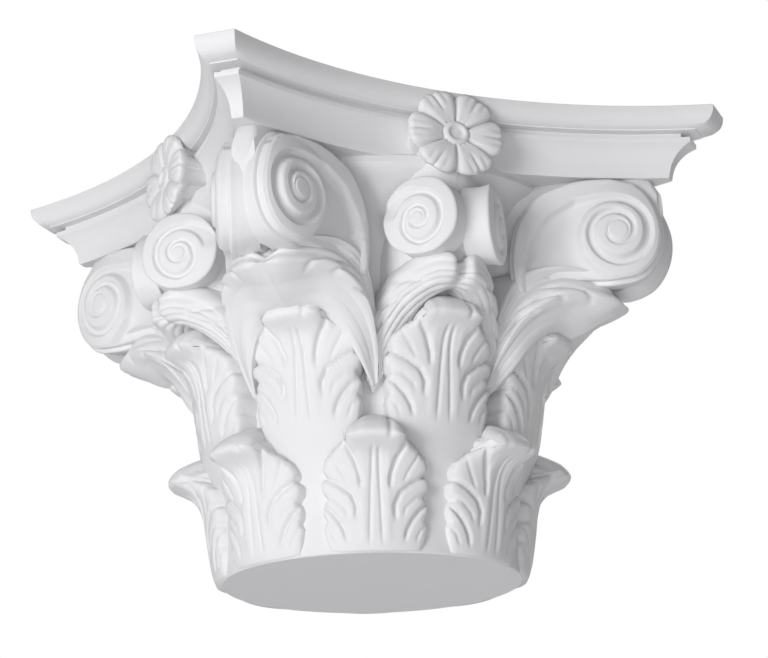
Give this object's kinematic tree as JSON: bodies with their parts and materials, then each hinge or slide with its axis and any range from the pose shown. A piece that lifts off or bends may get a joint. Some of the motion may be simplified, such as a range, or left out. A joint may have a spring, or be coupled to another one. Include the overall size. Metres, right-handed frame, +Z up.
{
  "type": "corinthian capital",
  "caption": "Corinthian column capital with two rows of acanthus leaves, corner volutes, helices, flowers and a moulded abacus with hollow sides.",
  "frame": {"origin": "centre of the round underside", "axes": "+Z up along the column's axis; the hollow sides of the abacus face +X, -X, +Y and -Y"},
  "size_m": [0.3814, 0.3814, 0.3],
  "materials": {
    "white_primer": "matt white primer over rigid foam"
  },
  "bodies": {
    "root": {"capital": "white_primer"}
  },
  "joints": []
}
